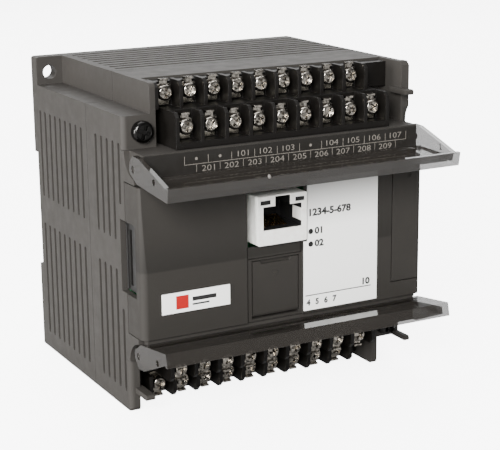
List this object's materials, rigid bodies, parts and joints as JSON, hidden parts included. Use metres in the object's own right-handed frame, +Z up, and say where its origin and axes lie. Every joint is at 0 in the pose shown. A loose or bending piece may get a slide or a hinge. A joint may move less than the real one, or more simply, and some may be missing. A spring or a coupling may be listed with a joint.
{
  "type": "plc module",
  "caption": "Boxy control-cabinet analogue output module with hinged smoked covers over two-row screw terminals, a network jack, a rail clip and corner mounting ears.",
  "frame": {"origin": "centre of the rail seat, the flat floor of the slot across the back", "axes": "+X to the right seen from the front, +Z up, front faces -Y, +Y towards the rail"},
  "size_m": [0.093, 0.0993, 0.0953],
  "materials": {
    "housing": "fine matt texture",
    "fascia": "fine matt texture",
    "terminal_plastic": "semi-matt moulding",
    "smoked_plastic": "clear smoked gloss",
    "nickel": "bright nickel plate",
    "tinned_brass": "tin plate",
    "gold_contact": "gold flash",
    "black_steel": "black oxide, satin",
    "label_film": "satin film",
    "marking_film": "printed matt film",
    "shield_metal": "tinned sheet",
    "jack_plastic": "matt black",
    "light_guide": "clear",
    "socket_plastic": "pale grey moulding",
    "spring_steel": "spring strip",
    "board_laminate": "green solder resist",
    "component_black": "matt epoxy",
    "capacitor_sleeve": "shrunk sleeve",
    "spacer_brass": "plated",
    "ferrite": "sintered",
    "copper_wire": "enamelled copper"
  },
  "bodies": {
    "housing": {"rear_shell": "housing", "front_shell": "housing", "front_panel": "fascia", "clip_spring": "spring_steel", "case_screws": "black_steel", "upper_terminal_block": "terminal_plastic", "lower_terminal_block": "terminal_plastic", "upper_marking_strip": "marking_film", "lower_marking_strip": "marking_film", "front_label": "label_film", "name_plate": "label_film", "status_light_pipes": "light_guide", "status_leds": "light_guide", "rj45_shield": "shield_metal", "rj45_housing": "jack_plastic", "rj45_contacts": "gold_contact", "rj45_light_windows": "light_guide", "expansion_socket": "socket_plastic", "expansion_socket_contacts": "gold_contact", "expansion_header": "jack_plastic", "expansion_header_pins": "gold_contact", "service_port_shell": "shield_metal", "service_port_insert": "jack_plastic", "front_board": "board_laminate", "io_board": "board_laminate", "power_board": "board_laminate", "front_spacers": "spacer_brass", "rear_spacers": "spacer_brass", "board_screws": "nickel", "board_studs": "spacer_brass", "link_sockets": "component_black", "link_pins": "gold_contact", "filter_capacitors": "capacitor_sleeve", "power_converter": "component_black", "choke_core": "ferrite", "choke_winding": "copper_wire", "io_chips": "component_black", "controller_chip": "component_black", "network_transformer": "component_black", "upper_outer_contacts": "tinned_brass", "upper_outer_clamps": "nickel", "upper_outer_screws": "nickel", "upper_inner_contacts": "tinned_brass", "upper_inner_clamps": "nickel", "upper_inner_screws": "nickel", "lower_outer_contacts": "tinned_brass", "lower_outer_clamps": "nickel", "lower_outer_screws": "nickel", "lower_inner_contacts": "tinned_brass", "lower_inner_clamps": "nickel", "lower_inner_screws": "nickel"},
    "upper_cover": {"upper_cover": "smoked_plastic"},
    "lower_cover": {"lower_cover": "smoked_plastic"},
    "access_door": {"access_door": "fascia"},
    "expansion_cover": {"expansion_cover": "fascia"},
    "din_clip": {"din_clip": "terminal_plastic"}
  },
  "joints": [
    {"name": "upper_cover_hinge", "type": "hinge", "parent": "housing", "child": "upper_cover", "pos_m": [0, -0.0746, 0.02675], "axis": [-1, 0, 0], "range_deg": [0, 94]},
    {"name": "lower_cover_hinge", "type": "hinge", "parent": "housing", "child": "lower_cover", "pos_m": [0, -0.0746, -0.02695], "axis": [1, 0, 0], "range_deg": [0, 98]},
    {"name": "access_door_hinge", "type": "hinge", "parent": "housing", "child": "access_door", "pos_m": [-0.004, -0.0767, -0.01955], "axis": [1, 0, 0], "range_deg": [0, 80]},
    {"name": "expansion_cover_pull", "type": "slide", "parent": "housing", "child": "expansion_cover", "axis": [0, -1, 0], "range_m": [0, 0.012]},
    {"name": "din_clip_slide", "type": "slide", "parent": "housing", "child": "din_clip", "axis": [0, 0, -1], "range_m": [0, 0.005], "stiffness_N_per_m": 1500, "springref_m": -0.002, "deforming": ["clip_spring"]}
  ]
}
